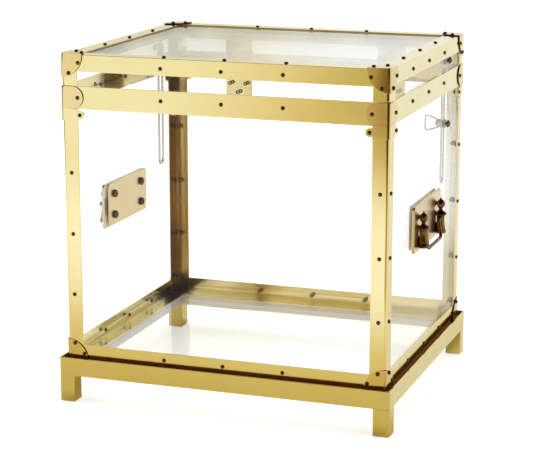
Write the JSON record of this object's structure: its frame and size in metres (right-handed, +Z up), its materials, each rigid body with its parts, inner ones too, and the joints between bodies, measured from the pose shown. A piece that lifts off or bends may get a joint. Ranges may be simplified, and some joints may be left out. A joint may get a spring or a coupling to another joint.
{
  "type": "glass display box on stand",
  "caption": "Trunk-style display box for jewelry: clear panels in a screwed brass angle frame with hinged lid, side handles and a low brass stand.",
  "frame": {"origin": "on the floor, at the middle of the stand's footprint", "axes": "+X to the right and +Y to the hinged rear as seen from the front, +Z up"},
  "size_m": [0.4308, 0.37, 0.4293],
  "materials": {
    "frame_brass": "fine brushed, polished",
    "stand_brass": "fine brushed",
    "aged_brass": "dark antique, glossy",
    "dark_fastener": "dark bronzed",
    "nickel_steel": "satin nickel plate",
    "clear_glass": "clear polished",
    "dark_liner": "matt",
    "black_pad": "matt"
  },
  "bodies": {
    "stand": {"stand_rail_front": "stand_brass", "stand_rail_rear": "stand_brass", "stand_rail_left": "stand_brass", "stand_rail_right": "stand_brass", "stand_legs": "stand_brass", "foot_pads": "black_pad", "stand_liner": "dark_liner"},
    "trunk": {"post_front_left": "frame_brass", "post_front_right": "frame_brass", "post_rear_left": "frame_brass", "post_rear_right": "frame_brass", "base_rail_front": "frame_brass", "base_rail_rear": "frame_brass", "base_rail_left": "frame_brass", "base_rail_right": "frame_brass", "top_band_front": "frame_brass", "top_band_rear": "frame_brass", "top_band_left": "frame_brass", "top_band_right": "frame_brass", "panel_front": "clear_glass", "panel_rear": "clear_glass", "panel_left": "clear_glass", "panel_right": "clear_glass", "floor_panel": "clear_glass", "corner_brackets": "frame_brass", "base_corner_caps": "frame_brass", "trunk_screws": "dark_fastener", "trunk_screw_nuts": "dark_fastener", "hinge_leaves_lower": "frame_brass", "hinge_pins": "frame_brass", "handle_plate_outer_left": "frame_brass", "handle_plate_outer_right": "frame_brass", "handle_plates_inner": "frame_brass", "handle_posts_left": "aged_brass", "handle_posts_right": "aged_brass", "handle_nuts": "dark_fastener", "guide_bolts": "dark_fastener"},
    "lid": {"lid_rail_front": "frame_brass", "lid_rail_rear": "frame_brass", "lid_rail_left": "frame_brass", "lid_rail_right": "frame_brass", "lid_strip_front": "clear_glass", "lid_strip_rear": "clear_glass", "lid_strip_left": "clear_glass", "lid_strip_right": "clear_glass", "lid_top_panel": "clear_glass", "lid_corner_posts": "frame_brass", "lid_corner_caps": "frame_brass", "lid_screws": "dark_fastener", "lid_screw_nuts": "dark_fastener", "hinge_leaves_upper": "frame_brass", "stay_pivot_bolts": "dark_fastener"},
    "stay_left": {"stay_left": "nickel_steel"},
    "wing_nut_left": {"wing_nut_left": "nickel_steel"},
    "bail_left": {"handle_bail_left": "aged_brass"},
    "stay_right": {"stay_right": "nickel_steel"},
    "wing_nut_right": {"wing_nut_right": "nickel_steel"},
    "bail_right": {"handle_bail_right": "aged_brass"}
  },
  "joints": [
    {"name": "trunk_lift", "type": "slide", "parent": "stand", "child": "trunk", "axis": [0, 0, 1], "range_m": [0, 0.06]},
    {"name": "lid_hinge", "type": "hinge", "parent": "trunk", "child": "lid", "pos_m": [0, 0.1778, 0.3887], "axis": [-1, 0, 0], "range_deg": [0, 65]},
    {"name": "stay_pivot_left", "type": "hinge", "parent": "lid", "child": "stay_left", "pos_m": [-0.1925, 0.107, 0.4005], "axis": [1, 0, 0], "range_deg": [0, 45]},
    {"name": "wing_nut_turn_left", "type": "hinge", "parent": "trunk", "child": "wing_nut_left", "pos_m": [-0.1883, 0.1053, 0.3205], "axis": [1, 0, 0], "range_deg": [0, 270]},
    {"name": "bail_swing_left", "type": "hinge", "parent": "trunk", "child": "bail_left", "pos_m": [-0.2084, 0, 0.214], "axis": [0, 1, 0], "range_deg": [0, 100]},
    {"name": "stay_pivot_right", "type": "hinge", "parent": "lid", "child": "stay_right", "pos_m": [0.1925, 0.107, 0.4005], "axis": [1, 0, 0], "range_deg": [0, 45]},
    {"name": "wing_nut_turn_right", "type": "hinge", "parent": "trunk", "child": "wing_nut_right", "pos_m": [0.1883, 0.1053, 0.3205], "axis": [1, 0, 0], "range_deg": [0, 270]},
    {"name": "bail_swing_right", "type": "hinge", "parent": "trunk", "child": "bail_right", "pos_m": [0.2084, 0, 0.214], "axis": [0, -1, 0], "range_deg": [0, 100]}
  ],
  "couplings": [
    {"joint": "stay_pivot_left", "follows": "lid_hinge", "ratio": 0.6835},
    {"joint": "stay_pivot_right", "follows": "lid_hinge", "ratio": 0.6835}
  ]
}
